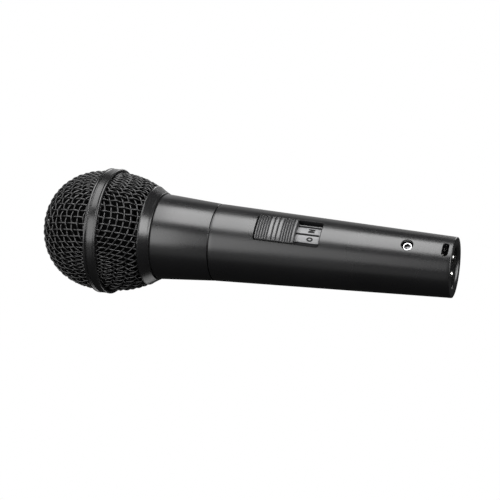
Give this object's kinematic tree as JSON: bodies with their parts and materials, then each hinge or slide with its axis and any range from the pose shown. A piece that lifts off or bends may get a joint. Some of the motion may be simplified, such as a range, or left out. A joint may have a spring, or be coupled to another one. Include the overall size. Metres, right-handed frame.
{
  "type": "handheld dynamic microphone",
  "caption": "Handheld vocal microphone with a round wire-mesh grille, tapered metal body, sliding on-off switch and a male plug insert in its tail.",
  "frame": {"origin": "centre of the connector mouth, on the plane of the tail's end face", "axes": "+X out of the tail along the long axis, so the grille is at -X; the on-off switch and the cable latch slot face +Z; the switch's travel lies in the XZ plane"},
  "size_m": [0.1785, 0.0538, 0.0538],
  "materials": {
    "satin_black_metal": "satin black baked enamel on die-cast metal",
    "black_wire": "satin black coated wire mesh",
    "grey_foam": "dark open-cell foam",
    "black_rubber": "matt black rubber",
    "black_plastic": "fine satin moulded black",
    "switch_label": null,
    "steel": "bright nickel-plated steel",
    "contact_silver": "silver-plated contact",
    "tinned_brass": "tinned brass",
    "cartridge_plastic": "dark grey moulded",
    "cloth": "thin woven acoustic cloth",
    "magnet_metal": "plated sintered magnet",
    "copper_coil": "enamelled copper wire",
    "clear_film": "thin polyester film",
    "felt": "thin felt",
    "board": "phenolic board",
    "red_lead": "red insulation",
    "white_lead": "white insulation"
  },
  "bodies": {
    "root": {"handle_shell": "satin_black_metal", "ferrule": "satin_black_metal", "shock_mount": "black_rubber", "xlr_insert": "black_plastic", "xlr_contact_1": "contact_silver", "xlr_contact_2": "contact_silver", "xlr_contact_3": "contact_silver", "xlr_ground_spring": "tinned_brass", "xlr_retaining_screw": "steel", "lead_switch_front": "red_lead", "lead_switch_tail": "red_lead", "lead_return": "white_lead", "switch_tray": "black_plastic", "switch_plate": "switch_label", "switch_can": "steel", "switch_base": "board", "switch_terminals": "tinned_brass"},
    "gasket": {"grille_gasket": "black_rubber"},
    "grille": {"grille_collar": "satin_black_metal", "grille_rear_mesh": "black_wire", "grille_front_mesh": "black_wire", "grille_band": "satin_black_metal", "grille_hoop": "steel", "foam_windscreen": "grey_foam"},
    "cartridge": {"cartridge_housing": "cartridge_plastic", "resonator_plate": "cartridge_plastic", "front_cloth": "cloth", "yoke_cup": "steel", "magnet": "magnet_metal", "pole_piece": "steel", "felt_damper": "felt", "diaphragm_surround": "clear_film", "cartridge_rear_cover": "board", "cartridge_terminals": "tinned_brass"},
    "coil": {"voice_coil": "copper_coil", "diaphragm_dome": "clear_film"},
    "slider": {"thumb_slider": "black_plastic"},
    "actuator": {"switch_actuator": "black_plastic", "switch_moving_contact": "tinned_brass"}
  },
  "joints": [
    {"name": "grille_turn", "type": "hinge", "parent": "root", "child": "gasket", "pos_m": [-0.1255, 0, 0], "axis": [-1, 0, 0], "range_deg": [0, 1440]},
    {"name": "grille_rise", "type": "slide", "parent": "gasket", "child": "grille", "axis": [-1, 0, 0], "range_m": [0, 0.00401]},
    {"name": "cartridge_float", "type": "slide", "parent": "root", "child": "cartridge", "axis": [1, 0, 0], "range_m": [-0.0005, 0.0005], "stiffness_N_per_m": 1000, "deforming": ["shock_mount", "lead_switch_front", "lead_return"]},
    {"name": "coil_travel", "type": "slide", "parent": "cartridge", "child": "coil", "axis": [1, 0, 0], "range_m": [-0.0002, 0.0002], "stiffness_N_per_m": 100, "deforming": ["diaphragm_surround"]},
    {"name": "switch_slide", "type": "slide", "parent": "root", "child": "slider", "axis": [0.9993, 0, -0.038], "range_m": [0, 0.01]},
    {"name": "switch_lever_slide", "type": "slide", "parent": "root", "child": "actuator", "axis": [0.9993, 0, -0.038], "range_m": [0, 0.01]}
  ],
  "couplings": [
    {"joint": "grille_rise", "follows": "grille_turn", "m_per_rad": 0.00015915},
    {"joint": "switch_lever_slide", "follows": "switch_slide", "ratio": 1}
  ]
}
